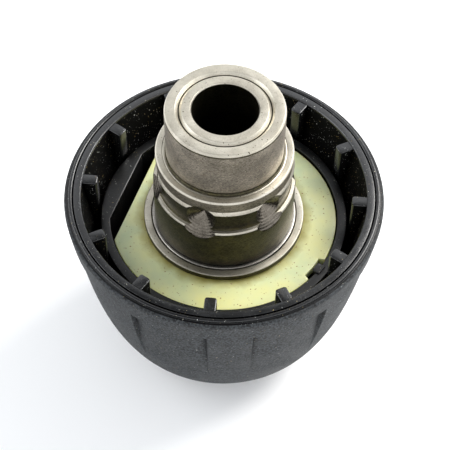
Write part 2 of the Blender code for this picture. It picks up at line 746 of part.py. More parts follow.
def make_core(sleeve, plastic):
    ring_pocket = grip_ring_start + SNAP_AXIAL + SEAT_GAP
    pocket_r = grip_ring_r + SNAP_RADIAL + RUN_GAP
    outline = [(rim_bore_r, rim_z), (rim_seam_r, rim_z)]
    for drop in belly_drops(BELLY_INNER_END):
        outline.append((belly_r(drop) - COVER_WALL - PRESS_GAP, rim_z - drop))
    outline += [
        (front_ring_r, grip_front + COVER_FRONT_WALL + PRESS_GAP),
        (front_ring_r, grip_front),
        (pocket_r, grip_front),
        (pocket_r, ring_pocket),
        (nose_r + RUN_GAP, ring_pocket),
        (nose_r + RUN_GAP, shoulder_start - SEAT_GAP),
        (core_bore_r, shoulder_end - SEAT_GAP),
        (core_bore_r, rim_z - CAVITY_DEPTH),
        (rim_bore_r - CAVITY_DRAFT, rim_z - CAVITY_DEPTH),
    ]
    core = make_object("grip_core", turned(outline), plastic, sleeve)
    ribs = bmesh.new()
    near = hub_r + RIB_GAP
    bottom = rim_z - CAVITY_DEPTH - RIB_ROOT
    top = rim_z - RIB_DROP
    for degrees in evenly(RIB_COUNT, RIB_FIRST_DEG):
        far = rim_bore_r - CAVITY_DRAFT * RIB_DROP / CAVITY_DEPTH + RIB_ROOT
        foot = rim_bore_r - CAVITY_DRAFT + RIB_ROOT
        before = set(ribs.verts)
        block(ribs, near, far, RIB_THICKNESS, bottom, top, degrees)
        turn = Matrix.Rotation(math.radians(degrees), 4, "Z")
        made = [corner for corner in ribs.verts if corner not in before]
        middle = (bottom + top) / 2
        radius = (near + far) / 2
        outer_low = [
            corner
            for corner in made
            if corner.co.z < middle and (turn.inverted() @ corner.co).x > radius
        ]
        drafted = turn @ Vector((foot - far, 0, 0))
        bmesh.ops.translate(ribs, verts=outer_low, vec=drafted)
    combine(core, make_cutter("ribs", ribs), "UNION")


def recess_depth(degrees, drop):
    """Depth of the grip's shallow recesses: crowned across, full at the top, fading down the belly."""
    pitch = 360 / RECESS_COUNT
    half = RECESS_WIDTH_DEG / 2
    off = abs((degrees - RECESS_FIRST_DEG + pitch / 2) % pitch - pitch / 2)
    crowned = RECESS_DEPTH - RECESS_CROWN * (1 - min(off / half, 1) ** 2)
    across = (half - off) / RECESS_EDGE_DEG
    top = (drop - RECESS_TOP) / RECESS_STEP
    fade = 1 - (drop - RECESS_TOP - RECESS_STEP) / (RECESS_LENGTH - RECESS_STEP)
    return crowned * min(max(across, 0), 1) * min(max(top, 0), 1) * min(max(fade, 0), 1)


def cover_outline(degrees):
    """The cover's closed half section at one angle, down its outside and up its inside."""
    outline = [
        (rim_seam_r + PRESS_GAP, rim_z),
        (bead_r - BEAD_ROUND, rim_z),
        (bead_r, rim_z - BEAD_ROUND),
        (bead_r, rim_z - NECK_DROP),
        (rim_r - BELLY_ROUND, rim_z - NECK_DROP),
    ]
    edge_drops = [RECESS_TOP, RECESS_TOP + RECESS_STEP]
    drops = sorted(belly_drops(belly_end_share()) + edge_drops)
    for drop in drops:
        outline.append((belly_r(drop) - recess_depth(degrees, drop), rim_z - drop))
    outline.append((front_ring_r + PRESS_GAP, grip_front + COVER_FRONT_WALL))
    for drop in reversed(belly_drops(BELLY_INNER_END)):
        outline.append((belly_r(drop) - COVER_WALL, rim_z - drop))
    return outline


def cover_angles():
    """Angles round the cover, with a pair at each edge of each recess."""
    half = RECESS_WIDTH_DEG / 2
    pitch = 360 / RECESS_COUNT
    steps = (-half, -half + RECESS_EDGE_DEG, -half / 2, 0, half / 2, half - RECESS_EDGE_DEG, half)
    land = (half + (pitch / 2 - half) * 2 / 3, half + (pitch / 2 - half) * 4 / 3)
    centres = evenly(RECESS_COUNT, RECESS_FIRST_DEG)
    return [centre + step for centre in centres for step in steps + land]


def make_cover(sleeve, soft):
    shape = bmesh.new()
    columns = []
    for degrees in cover_angles():
        angle = math.radians(degrees)
        column = [
            shape.verts.new((radius * math.cos(angle), radius * math.sin(angle), height))
            for radius, height in cover_outline(degrees)
        ]
        columns.append(column)
    for left, right in zip(columns, columns[1:] + columns[:1]):
        for index in range(len(left)):
            after = (index + 1) % len(left)
            shape.faces.new((left[index], right[index], right[after], left[after]))
    make_object("grip_cover", shape, soft, sleeve)


def main():
    clear_scene()
    ground_steel = make_material("ground steel", (0.52, 0.49, 0.44), 0.32, 1.0)
    oiled_steel = make_material("oiled steel", (0.30, 0.28, 0.24), 0.38, 1.0)
    spring_steel = make_material("spring steel", (0.22, 0.22, 0.23), 0.35, 1.0)
    hardened = make_material("hardened steel", (0.42, 0.41, 0.40), 0.28, 1.0)
    nylon = make_material("natural nylon", (0.70, 0.71, 0.47), 0.42)
    hard_black = make_material("black glass-filled nylon", (0.022, 0.024, 0.026), 0.45)
    soft_black = make_material("black soft elastomer", (0.028, 0.030, 0.033), 0.72)
    rubber = make_material("black rubber", (0.018, 0.018, 0.018), 0.8)

    receiver = make_empty("receiver_axis")
    disc_turn = make_empty("disc_turn_axis", receiver)
    sleeve = make_empty("sleeve_slide_axis", disc_turn)
    plate_path = make_empty("plate_slide_axis", receiver)
    ball_paths = {
        "locking_ball_right": make_empty("right_ball_path", receiver, (ball_rest_r, 0, ball_z)),
        "locking_ball_left": make_empty("left_ball_path", receiver, (-ball_rest_r, 0, ball_z)),
    }

    make_receiver(receiver, ground_steel)
    make_bush_and_seal(receiver, ground_steel, rubber)
    make_nose(receiver, oiled_steel, spring_steel, rubber)
    make_rear(receiver, disc_turn, oiled_steel, spring_steel, nylon)
    make_spring(receiver, spring_steel)
    make_lock(sleeve, plate_path, hardened, spring_steel)
    for name, path in ball_paths.items():
        make_ball(name, path, hardened)
    make_slider(sleeve, hard_black)
    make_core(sleeve, hard_black)
    snap_ring(
        "grip_snap_ring",
        grip_ring_r,
        grip_ring_r + SNAP_RADIAL,
        grip_ring_start,
        grip_ring_start + SNAP_AXIAL,
        GRIP_MOUTH_DEG,
        spring_steel,
        sleeve,
    )
    make_cover(sleeve, soft_black)


main()
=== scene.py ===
"""Looks of the quick-change drill chuck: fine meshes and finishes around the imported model.

Lengths are in millimetres until a mesh is made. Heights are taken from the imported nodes' boxes, and
radii repeat the sizes of the parts. Every turned piece is an outline with rounded corners, turned
about the axis; discs, hub and grip vary that outline with the angle.
"""

import math

import bpy
import numpy as np
from mathutils import Matrix, Vector


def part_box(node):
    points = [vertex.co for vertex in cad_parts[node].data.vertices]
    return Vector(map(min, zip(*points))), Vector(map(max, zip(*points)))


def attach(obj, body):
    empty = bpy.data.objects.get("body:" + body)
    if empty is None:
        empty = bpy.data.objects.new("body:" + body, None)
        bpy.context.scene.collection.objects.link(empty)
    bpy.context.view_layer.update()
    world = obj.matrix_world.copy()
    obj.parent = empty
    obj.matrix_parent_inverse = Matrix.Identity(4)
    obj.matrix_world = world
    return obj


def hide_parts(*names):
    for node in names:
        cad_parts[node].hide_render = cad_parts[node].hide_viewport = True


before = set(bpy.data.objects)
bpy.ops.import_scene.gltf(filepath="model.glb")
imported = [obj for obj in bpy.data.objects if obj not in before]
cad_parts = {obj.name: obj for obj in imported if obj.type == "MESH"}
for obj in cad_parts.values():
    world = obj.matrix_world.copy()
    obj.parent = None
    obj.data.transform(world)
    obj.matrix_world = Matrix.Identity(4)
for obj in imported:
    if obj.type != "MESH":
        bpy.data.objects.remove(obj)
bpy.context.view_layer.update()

MM = 0.001
COLUMNS = 288  # sections in a whole turn
RING_COLUMNS = 160
BALL_COLUMNS = 64
ARC_STEPS = 4
SHARP_DEG = 32
SMALLEST_ROUND = 0.02
FAR_OUT = 99.0  # a radius beyond every piece


def heights(name):
    """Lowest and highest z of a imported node, in mm."""
    low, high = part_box(name)
    return low[2] / MM, high[2] / MM


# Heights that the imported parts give
RIM = heights("grip_core")[1]
GRIP_FRONT = heights("grip_core")[0]
TUBE_FRONT, TUBE_END = heights("receiver_tube")
BUSH_START = heights("guide_bush")[0]
DISC_START, DISC_END = heights("rear_disc")
COLLAR_START, COLLAR_END = heights("rear_collar")
REAR_SNAP_START, REAR_SNAP_END = heights("rear_snap_ring")
LOCK_START, LOCK_END = heights("lock_ring")
CLIP_START, CLIP_END = heights("lock_ring_clip")
BALL_LOW, BALL_HIGH = heights("locking_ball_right")
BALL_Z = (BALL_LOW + BALL_HIGH) / 2
SLIDER_FRONT = heights("inner_slider")[0]
SEAT_START = heights("spring_seat")[0]
HUB_END = DISC_END + 0.45
HUB_FLOOR = DISC_START - 6.8

# Radii and clearances of the steel parts
RUN_GAP = 0.2
BORE_R = 5.0
SPIGOT_R = 9.05
BODY_R = 11.2
FRONT_R = 8.8
BUSH_R = 6.85
SOCKET_R = 7.0
BALL_R = 3.5
BALL_REST_R = 7.1
SNAP_MOUTH = 3.0
REAR_MOUTH_DEG = 70
FRONT_MOUTH_DEG = 60
CLIP_MOUTH_DEG = 120
GRIP_MOUTH_DEG = -60
CLIP_GROOVE_GAP = 0.15
SLIDER_BORE_R = 13.65
CLIP_GROOVE_R = 14.45
GRIP_GROOVE_DEPTH = 0.9
RAMP_SLOPE = 0.25

# Dimples for the machine's balls: their height is counted from the rim plane
DIMPLE_COUNT = 6
DIMPLE_FIRST_DEG = -109.6
DIMPLE_RISE = 5.3
DIMPLE_DEPTH = 2.4
DIMPLE_MOUTH_R = 3.95
CHATTER_HEIGHT = 0.022
CHATTER_PITCH = 0.26

# Radii of the disc and the sleeve
DISC_BORE_R = 11.4
DISC_R = 18.3
DISC_FLAT = 15.0
FLAT_DEG = 161.6
NOTCH_DEG = -35.3
HUB_BORE_R = 18.5
HUB_FLAT = 17.07
HUB_R = 20.0
NOSE_R = 15.2
RIM_BORE_R = 22.75
SEAM_R = 23.95
BEAD_R = 24.75
RIM_R = 25.45
BELLY_START = 0.9
BELLY_NOSE_R = NOSE_R + 0.6
BELLY_POWER = 1.1
BELLY_ROOT = 2.35
BELLY_LENGTH = RIM - GRIP_FRONT - BELLY_START
COVER_FRONT_R = 17.15
SHELL_SHARE = 0.93  # of the belly's length that the core and the cover's inside follow
SHELL_IN = 1.55
COVER_IN = 1.4
BEAD_ROUND = 0.29
RIB_COUNT = 12
RIB_FIRST_DEG = -4.9
RIB_WIDTH = 1.85
RIB_DROP = 0.3
CAVITY_DEPTH = 12.0
PANEL_COUNT = 8
PANEL_FIRST_DEG = -64.7
PANEL_HALF_DEG = 14.5
PANEL_EDGE_DEG = 0.6
PANEL_TOP = 4.7
PANEL_DEPTH = 0.85
PANEL_CROWN = 0.55


# Lights, camera and floor

def aim(thing, target):
    direction = Vector(target) - thing.location
    thing.rotation_euler = direction.to_track_quat("-Z", "Y").to_euler()


def make_camera():
    """Looks down at the spigot from 200 mm away, 52.2 degrees above the rim plane."""
    lens = bpy.data.cameras.new("camera")
    lens.lens = 100.7
    lens.clip_start = 0.01
    camera = bpy.data.objects.new("camera", lens)
    bpy.context.scene.collection.objects.link(camera)
    elevation = math.radians(52.25)
    distance = 200 * MM
    rim = Vector((0, 0, RIM * MM))
    back = Vector((0, -math.cos(elevation), math.sin(elevation)))
    camera.location = rim + distance * back
    up = Vector((0, math.sin(elevation), math.cos(elevation)))
    side = Vector((1, 0, 0))
    drop = math.radians(1.645)
    swing = math.radians(0.06)
    target = rim - up * distance * math.tan(drop) + side * distance * math.tan(swing)
    aim(camera, target)
    roll = Matrix.Rotation(math.radians(0.88), 4, "Z")
    tilted = camera.rotation_euler.to_matrix().to_4x4() @ roll
    camera.rotation_euler = tilted.to_euler()
    bpy.context.scene.camera = camera


def make_light(name, place, target, size, power, colour):
    lamp = bpy.data.lights.new(name, "AREA")
    lamp.shape = "RECTANGLE"
    lamp.size, lamp.size_y = size
    lamp.energy = power
    lamp.color = colour
    light = bpy.data.objects.new(name, lamp)
    bpy.context.scene.collection.objects.link(light)
    light.location = place
    aim(light, target)


def make_studio():
    """Pale walls all round, a dim ceiling, a key lamp behind on the right and a weak one on the left.

    The walls end 52 to 58 degrees up, at a sine of 0.785 to 0.845, and the right wall is the paler.
    """
    scene = bpy.context.scene
    scene.view_settings.view_transform = "Standard"
    world = bpy.data.worlds.new("studio")
    scene.world = world
    world.use_nodes = True
    tree = world.node_tree
    paint = tree.nodes["Background"]
    paint.inputs["Color"].default_value = (0.95, 0.97, 1.0, 1)
    way = add(tree, "SeparateXYZ", Vector=add(tree, "TexCoord").outputs["Generated"])
    walls = level(tree, way.outputs["Z"], 0.785, 0.845, 1.45, 0.15)
    side = level(tree, way.outputs["X"], -1.0, 1.0, 0.80, 1.12)
    glow = add(tree, "Math", {"operation": "MULTIPLY"}, i0=walls, i1=side).outputs[0]
    tree.links.new(glow, paint.inputs["Strength"])
    middle = (0, 0, 0.03)
    make_light("key", (0.36, 0.24, 0.42), middle, (0.34, 0.30), 4.6, (1.0, 0.98, 0.95))
    make_light("fill", (-0.42, 0.05, 0.40), middle, (0.40, 0.30), 1.2, (0.95, 0.98, 1.0))

    floor = bpy.data.meshes.new("floor")
    reach = 3.0
    corners = [(-reach, -reach, 0), (reach, -reach, 0), (reach, reach, 0), (-reach, reach, 0)]
    floor.from_pydata(corners, [], [(0, 1, 2, 3)])
    ground = bpy.data.objects.new("floor", floor)
    bpy.context.scene.collection.objects.link(ground)
    paper = bpy.data.materials.new("white studio paper")
    paper.use_nodes = True
    shader = paper.node_tree.nodes["Principled BSDF"]
    shader.inputs["Base Color"].default_value = (0.96, 0.96, 0.96, 1)
    shader.inputs["Roughness"].default_value = 0.9
    shader.inputs["Specular IOR Level"].default_value = 0.1
    floor.materials.append(paper)


# Materials

def linear(code):
    """Linear RGBA of an sRGB hex colour."""
    parts = [int(code[i : i + 2], 16) / 255 for i in (1, 3, 5)]
    flat = [p / 12.92 if p <= 0.04045 else ((p + 0.055) / 1.055) ** 2.4 for p in parts]
    return (*flat, 1.0)


def add(tree, kind, settings=None, **inputs):
    """Adds a node: settings are its own fields, inputs are its sockets' values or what feeds them."""
    made = tree.nodes.new("ShaderNode" + kind)
    for field, value in (settings or {}).items():
        setattr(made, field, value)
    for socket_name, value in inputs.items():
        name = socket_name.replace("_", " ")
        socket = made.inputs[int(name[1:]) if name[0] == "i" and name[1:].isdigit() else name]
        if isinstance(value, bpy.types.NodeSocket):
            tree.links.new(value, socket)
        else:
            socket.default_value = value
    return made


def start_material(name, metallic, roughness, **fixed):
    material = bpy.data.materials.new(name)
    material.use_nodes = True
    tree = material.node_tree
    shader = tree.nodes["Principled BSDF"]
    shader.inputs["Metallic"].default_value = metallic
    shader.inputs["Roughness"].default_value = roughness
    for socket_name, value in fixed.items():
        shader.inputs[socket_name.replace("_", " ")].default_value = value
    place = add(tree, "TexCoord").outputs["Object"]
    return material, tree, shader, place


def noise(tree, place, size_mm, detail=3.0, stretch=(1, 1, 1), rough=0.55):
    """A noise whose grains measure size_mm, drawn out by the stretch along each axis."""
    scale = tuple(1 / (size_mm * MM * s) for s in stretch)
    spread = add(tree, "Mapping", Vector=place, Scale=scale).outputs["Vector"]
    return add(tree, "TexNoise", Vector=spread, Scale=1.0, Detail=detail, Roughness=rough).outputs["Fac"]


def ramp(tree, value, stops):
    """A colour ramp from (position, hex colour) stops."""
    made = add(tree, "ValToRGB", Fac=value)
    band = made.color_ramp
    while len(band.elements) < len(stops):
        band.elements.new(0.5)
    for element, (position, code) in zip(band.elements, stops):
        element.position = position
        element.color = linear(code)
    return made.outputs["Color"]


def level(tree, value, low, high, to_low, to_high):
    """Maps a value from one range to another and clamps it there."""
    made = add(tree, "MapRange", {"clamp": True}, Value=value)
    for socket, number in zip(("From Min", "From Max", "To Min", "To Max"), (low, high, to_low, to_high)):
        made.inputs[socket].default_value = number
    return made.outputs["Result"]


def mixed(tree, share, first, second, blend="MIX"):
    """Blends two colours, each a socket or a hex colour, by a share."""
    made = tree.nodes.new("ShaderNodeMix")
    made.data_type = "RGBA"
    made.blend_type = blend
    sockets = [s for s in made.inputs if s.name in ("Factor", "A", "B") and s.enabled]
    for socket, value in zip(sockets, (share, first, second)):
        if isinstance(value, bpy.types.NodeSocket):
            tree.links.new(value, socket)
        else:
            socket.default_value = linear(value) if isinstance(value, str) else value
    return [s for s in made.outputs if s.enabled][0]


def specks(tree, place, size_mm, amount):
    """White where a fine noise peaks: grains of dust or pits, covering a small share."""
    grain = noise(tree, place, size_mm, detail=1.0)
    return level(tree, grain, 0.74 - amount, 0.77 - amount, 0.0, 1.0)


def bump(tree, shader, height, depth_mm):
    made = add(tree, "Bump", Height=height, Strength=1.0, Distance=depth_mm * MM)
    tree.links.new(made.outputs["Normal"], shader.inputs["Normal"])


def steel(name, dark, pale, roughness, grain_mm, ring_mm=0.0, stain=None, pits=0.02):
    """Steel with a cloudy film of oil, fine lines from the lathe and small dark pits."""
    material, tree, shader, place = start_material(name, 1.0, roughness)
    cloud = noise(tree, place, 3.2, detail=5.0)
    grain = noise(tree, place, grain_mm, detail=3.0, rough=0.7)
    both = add(tree, "Math", {"operation": "MULTIPLY_ADD"}, i0=grain, i1=0.75)
    tree.links.new(level(tree, cloud, 0.3, 0.7, -0.05, 0.32), both.inputs[2])
    colour = ramp(tree, both.outputs[0], [(0.22, dark), (0.78, pale)])
    relief = grain
    if ring_mm:
        rings = noise(tree, place, ring_mm, detail=2.0, stretch=(3.5, 3.5, 1), rough=0.75)
        relief = add(tree, "Math", {"operation": "MULTIPLY_ADD"}, i0=rings, i1=1.4, i2=grain).outputs[0]
        shade = ramp(tree, rings, [(0.36, "#A0A0A0"), (0.60, "#FFFFFF")])
        colour = mixed(tree, 1.0, colour, shade, "MULTIPLY")
    if stain:
        brown = level(tree, noise(tree, place, 1.6, detail=4.0), 0.54, 0.70, 0.0, 0.6)
        colour = mixed(tree, brown, colour, stain)
    pit = specks(tree, place, 0.30, pits)
    colour = mixed(tree, pit, colour, "#3B3024")
    tree.links.new(colour, shader.inputs["Base Color"])
    rough = level(tree, grain, 0.3, 0.7, roughness - 0.06, roughness + 0.10)
    tree.links.new(rough, shader.inputs["Roughness"])
    bump(tree, shader, relief, 0.014)
    return material


def black_plastic(
    name, base, roughness, dust, dust_mm, cloud_colour, texture_mm=0.0, depth_mm=0.0, gloss=0.5
):
    """Moulded black plastic: a faint bloom, grains of dust, the mould's texture, and painted shade that
    darkens the colour and dims the gloss in corners.
    """
    material, tree, shader, place = start_material(name, 0.0, roughness, IOR=1.5, Specular_IOR_Level=gloss)
    bloom = level(tree, noise(tree, place, 4.5, detail=6.0), 0.42, 0.75, 0.0, 0.55)
    colour = mixed(tree, bloom, base, cloud_colour)
    grains = specks(tree, place, dust_mm, dust)
    tint = ramp(tree, noise(tree, place, 2.0, detail=1.0), [(0.40, "#B9A46C"), (0.55, "#C9CCC8")])
    colour = mixed(tree, grains, colour, tint)
    if texture_mm:
        fine = noise(tree, place, texture_mm, detail=2.0, rough=0.6)
        shade = ramp(tree, fine, [(0.38, "#383838"), (0.64, "#FFFFFF")])
        colour = mixed(tree, 1.0, colour, shade, "MULTIPLY")
        bump(tree, shader, fine, depth_mm)
    else:
        bump(tree, shader, noise(tree, place, 0.5, detail=4.0), 0.01)
    # Painted shade: ambient occlusion darkens the colour and dims the gloss in corners, creases and
    # recesses.
    corner = add(tree, "AmbientOcclusion", {"samples": 8}, Distance=1.4 * MM).outputs["AO"]
    painted_corner_shade = level(tree, corner, 0.45, 0.95, 0.08, 1.0)
    colour = mixed(tree, 1.0, colour, painted_corner_shade, "MULTIPLY")
    gloss_dimmed_as_corner_shade = level(tree, corner, 0.45, 0.95, 0.1 * gloss, gloss)
    tree.links.new(gloss_dimmed_as_corner_shade, shader.inputs["Specular IOR Level"])
    tree.links.new(colour, shader.inputs["Base Color"])
    rough = level(tree, bloom, 0.0, 0.5, roughness, roughness + 0.12)
    tree.links.new(rough, shader.inputs["Roughness"])
    return material


def nylon():
    """Unpigmented moulded nylon: waxy, a little see-through, stained amber where oil creeps in."""
    material, tree, shader, place = start_material("natural nylon, oil stained", 0.0, 0.38, IOR=1.53)
    shader.inputs["Subsurface Weight"].default_value = 0.35
    shader.inputs["Subsurface Radius"].default_value = (0.9, 1.0, 0.45)
    shader.inputs["Subsurface Scale"].default_value = 1.2 * MM
    cloud = noise(tree, place, 7.0, detail=3.0)
    colour = ramp(tree, cloud, [(0.30, "#BCC9A2"), (0.50, "#CFD3A0"), (0.70, "#D8D695")])
    flat_place = add(tree, "Mapping", Vector=place, Scale=(1, 1, 0)).outputs["Vector"]
    out = add(tree, "VectorMath", {"operation": "LENGTH"}, i0=flat_place).outputs["Value"]
    blotches = noise(tree, place, 2.4, detail=4.0)
    creep = add(tree, "Math", {"operation": "MULTIPLY_ADD"}, i0=blotches, i1=-2.2 * MM, i2=out)
    amber = level(tree, creep.outputs[0], 11.7 * MM, 13.5 * MM, 0.85, 0.0)
    colour = mixed(tree, amber, colour, "#8C7F2E")
    # Paler along the last quarter millimetre of the outer edge: a painted highlight on the rounded edge.
    edge = level(tree, out, (DISC_R - 0.25) * MM, DISC_R * MM, 0.0, 0.6)
    colour = mixed(tree, edge, colour, "#E4E29A")
    brown = specks(tree, place, 0.34, 0.022)
    colour = mixed(tree, brown, colour, "#7A4A22")
    tree.links.new(colour, shader.inputs["Base Color"])
    bump(tree, shader, noise(tree, place, 1.1, detail=3.0), 0.02)
    return material


def rubber(name, base):
    """Matt moulded rubber with a grey bloom of dust."""
    return black_plastic(name, base, 0.72, 0.01, 0.3, "#34342F", 0.30, 0.02)


# Shapes

def rounded(corners, arc_steps=ARC_STEPS):
    """Closed outline of (radius, height): each corner is an arc tangent to both its sides.

    The arc's centre lies on the corner's bisector, its radius is cut down to what the shorter side
    leaves, and its points turn evenly from one tangent point to the other.
    """
    table = np.array([corner[:3] for corner in corners], float)
    points, fillet = table[:, :2], np.maximum(table[:, 2], SMALLEST_ROUND)
    back = np.roll(points, 1, 0) - points
    ahead = np.roll(points, -1, 0) - points
    back_length = np.linalg.norm(back, axis=1)
    ahead_length = np.linalg.norm(ahead, axis=1)
    back /= back_length[:, None]
    ahead /= ahead_length[:, None]
    half = np.arccos(np.clip((back * ahead).sum(1), -1, 1)) / 2
    reach = np.minimum(fillet / np.tan(half), 0.45 * np.minimum(back_length, ahead_length))
    radius = reach * np.tan(half)
    bisector = back + ahead
    bisector /= np.maximum(np.linalg.norm(bisector, axis=1), 1e-9)[:, None]
    centre = points + bisector * (radius / np.sin(half))[:, None]
    first = points + back * reach[:, None] - centre
    last = points + ahead * reach[:, None] - centre
    sweep = (math.pi - 2 * half)[:, None]
    share = np.linspace(0, 1, arc_steps + 1)[None, :]
    lead = np.sin((1 - share) * sweep) / np.sin(sweep)
    trail = np.sin(share * sweep) / np.sin(sweep)
    arc = centre[:, None] + lead[..., None] * first[:, None] + trail[..., None] * last[:, None]
    slots = np.array([corner[3] if len(corner) > 3 else 0 for corner in corners])
    return arc.reshape(-1, 2), np.repeat(slots, arc_steps + 1)


def denser(outline, slots, longest):
    """The same closed outline with each side split evenly into parts no longer than given."""
    ahead = np.roll(outline, -1, 0) - outline
    parts = np.maximum(1, np.ceil(np.linalg.norm(ahead, axis=1) / longest)).astype(int)
    side = np.repeat(np.arange(len(outline)), parts)
    step = np.arange(parts.sum()) - np.repeat(np.cumsum(parts) - parts, parts)
    return outline[side] + ahead[side] * (step / parts[side])[:, None], slots[side]


def mesh_piece(name, points, faces, materials, slots, sharp_deg=SHARP_DEG):
    """An object from points in mm, with its faces turned outwards by the sign of its volume."""
    mesh = bpy.data.meshes.new(name)
    mesh.from_pydata(points * MM, [], faces)
    for material in materials:
        mesh.materials.append(material)
    mesh.polygons.foreach_set("material_index", slots.astype(np.int32))
    mesh.calc_loop_triangles()
    triangles = np.empty(len(mesh.loop_triangles) * 3, np.int32)
    mesh.loop_triangles.foreach_get("vertices", triangles)
    if np.linalg.det(points[triangles.reshape(-1, 3)]).sum() < 0:
        mesh.flip_normals()
    mesh.update()
    mesh.shade_smooth()
    mesh.set_sharp_from_angle(angle=math.radians(sharp_deg))
    piece = bpy.data.objects.new(name, mesh)
    bpy.context.scene.collection.objects.link(piece)
    return piece


def loft(name, sections, materials, slots=0, closed=True, sharp_deg=SHARP_DEG):
    """Joins closed outlines, (count, points, 3), each to the next, and back to the first or capped.

    The material slots are one for all, one for each point of an outline, or one for each quad.
    """
    count, size = sections.shape[:2]
    runs = count if closed else count - 1
    here = (np.arange(runs)[:, None] * size + np.arange(size)[None]).ravel()
    beside = (np.arange(runs)[:, None] * size + (np.arange(size)[None] + 1) % size).ravel()
    total = count * size
    quads = np.stack([here, (here + size) % total, (beside + size) % total, beside], 1)
    faces = quads.tolist()
    face_slots = np.resize(slots, runs * size)
    if not closed:
        faces.append(list(range(size)))
        faces.append(list(range(total - 1, total - size - 1, -1)))
        face_slots = np.append(face_slots, [0, 0])
    return mesh_piece(name, sections.reshape(-1, 3), faces, materials, face_slots, sharp_deg)


def around(outline, angles):
    """Sections of an outline of (radius, height) at each angle; the radius may vary with the angle."""
    radius = np.broadcast_to(outline[..., 0], (len(angles), outline.shape[-2]))
    height = np.broadcast_to(outline[..., 1], radius.shape)
    cosine, sine = np.cos(angles)[:, None], np.sin(angles)[:, None]
    return np.stack([radius * cosine, radius * sine, height], -1)


def whole_turn(columns=COLUMNS):
    return np.arange(columns) * math.tau / columns


def turned(name, corners, materials, longest=50.0):
    """The corners' rounded outline turned once about the axis."""
    outline, slots = denser(*rounded(corners), longest)
    return loft(name, around(outline, whole_turn()), materials, slots)


def box_corners(inner_r, outer_r, low, high, rounds):
    """Corners of a flat ring's outline: inner and outer in front, then outer and inner behind."""
    places = ((inner_r, low), (outer_r, low), (outer_r, high), (inner_r, high))
    return [(*place, fillet) for place, fillet in zip(places, rounds)]


def open_ring(name, corners, mouth_deg, materials):
    """A snap ring: the rounded outline carried round the axis, but for its mouth."""
    outline, slots = rounded(corners)
    half = math.asin(SNAP_MOUTH / 2 / outline[:, 0].mean())
    angles = math.radians(mouth_deg) + np.linspace(half, math.tau - half, RING_COLUMNS)
    return loft(name, around(outline, angles), materials, slots, closed=False)


def join_with(piece, tool, operation):
    """Applies an exact Boolean with the tool, then removes the tool."""
    modifier = piece.modifiers.new(operation, "BOOLEAN")
    modifier.operation = operation
    modifier.solver = "EXACT"
    modifier.object = tool
    graph = bpy.context.evaluated_depsgraph_get()
    made = bpy.data.meshes.new_from_object(piece.evaluated_get(graph))
    piece.modifiers.clear()
    piece.data = made
    bpy.data.objects.remove(tool, do_unlink=True)
    made.shade_smooth()
    made.set_sharp_from_angle(angle=math.radians(SHARP_DEG))


def several(name, pieces):
    """One object from the meshes of several, for a Boolean."""
    points, faces, slots, start = [], [], [], 0
    for piece in pieces:
        mesh = piece.data
        flat = np.empty(len(mesh.vertices) * 3)
        mesh.vertices.foreach_get("co", flat)
        points.append(flat.reshape(-1, 3) / MM)
        faces += [[start + i for i in polygon.vertices] for polygon in mesh.polygons]
        slots.append(np.array([polygon.material_index for polygon in mesh.polygons]))
        start += len(mesh.vertices)
    materials = list(pieces[0].data.materials)
    joined = mesh_piece(name, np.concatenate(points), faces, materials, np.concatenate(slots))
    for piece in pieces:
        bpy.data.objects.remove(piece, do_unlink=True)
    return joined


def placed(piece, body, node):
    """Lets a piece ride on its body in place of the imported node."""
    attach(piece, body)
    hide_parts(node)


def turn_z(points, degrees):
    """An array of points, (..., 3), turned about the axis."""
    cosine, sine = math.cos(math.radians(degrees)), math.sin(math.radians(degrees))
    spin = np.array([[cosine, -sine, 0], [sine, cosine, 0], [0, 0, 1]])
    return points @ spin.T


# Steel pieces

# Steel tones by where light falls: FACE, the palest, on end faces and up-facing ledges and chamfers is
# partly painted light; SIDE on outer sides and DARK in grooves, bore, slots and under lips are partly
# painted shade; PIT in the dimples is painted shade.
FACE, SIDE, DARK, PIT = 0, 1, 2, 3


def dimple_tool(materials):
    """Six drilled cones that point at the axis, with rings where the drill's lip chattered.

    Along the cone's axis the radius grows evenly, plus a small sine of the distance; the profile is
    turned about the radial line of each dimple.
    """
    overrun = 1.2
    along = np.linspace(0.0, DIMPLE_DEPTH + overrun, 121)
    chatter = CHATTER_HEIGHT * np.sin(along * math.tau / CHATTER_PITCH) * np.minimum(along, 1)
    radius = along * DIMPLE_MOUTH_R / DIMPLE_DEPTH + chatter
    radius[0] = 0.02
    angles = np.linspace(0, math.tau, 48, endpoint=False)
    rings = np.stack(
        [
            np.broadcast_to(BODY_R - DIMPLE_DEPTH + along[:, None], (len(along), len(angles))),
            radius[:, None] * np.cos(angles)[None],
            radius[:, None] * np.sin(angles)[None] + RIM + DIMPLE_RISE,
        ],
        -1,
    )
    cones = []
    for index in range(DIMPLE_COUNT):
        cone = turn_z(rings, DIMPLE_FIRST_DEG + 360 / DIMPLE_COUNT * index)
        cones.append(loft(f"cone_{index}", cone, materials, PIT, closed=False))
    return several("dimple_tool", cones)


def slot_tool(materials):
    """Two slots for the balls: a capsule inside and a rounded window through the wall.

    Half circles of latitude about the radial line grow to the ball's radius with clearance. Their
    upper halves stand higher by the ball's travel, and the last one is carried out past the wall.
    """
    travel, columns = 5.0, 48
    reach = BALL_R + RUN_GAP
    turn = (np.arange(columns) + 0.5) * math.tau / columns
    tall = np.where(np.sin(turn) > 0, travel, 0)
    latitude = np.linspace(-math.pi / 2 + 0.04, 0, 14)
    ring_r = reach * np.cos(latitude)
    depth = BALL_REST_R + reach * np.sin(latitude)
    pieces = []
    for index, side in enumerate((1, -1)):
        inner = np.stack(
            [
                np.broadcast_to(side * depth[:, None], (len(latitude), columns)),
                ring_r[:, None] * np.cos(turn),
                BALL_Z + tall + ring_r[:, None] * np.sin(turn),
            ],
            -1,
        )
        outer = inner[-1:].copy()
        outer[..., 0] = side * (FRONT_R + 3)
        capsule = np.concatenate([inner, outer])
        pieces.append(loft(f"slot_{index}", capsule, materials, DARK, closed=False))
    return several("slot_tool", pieces)


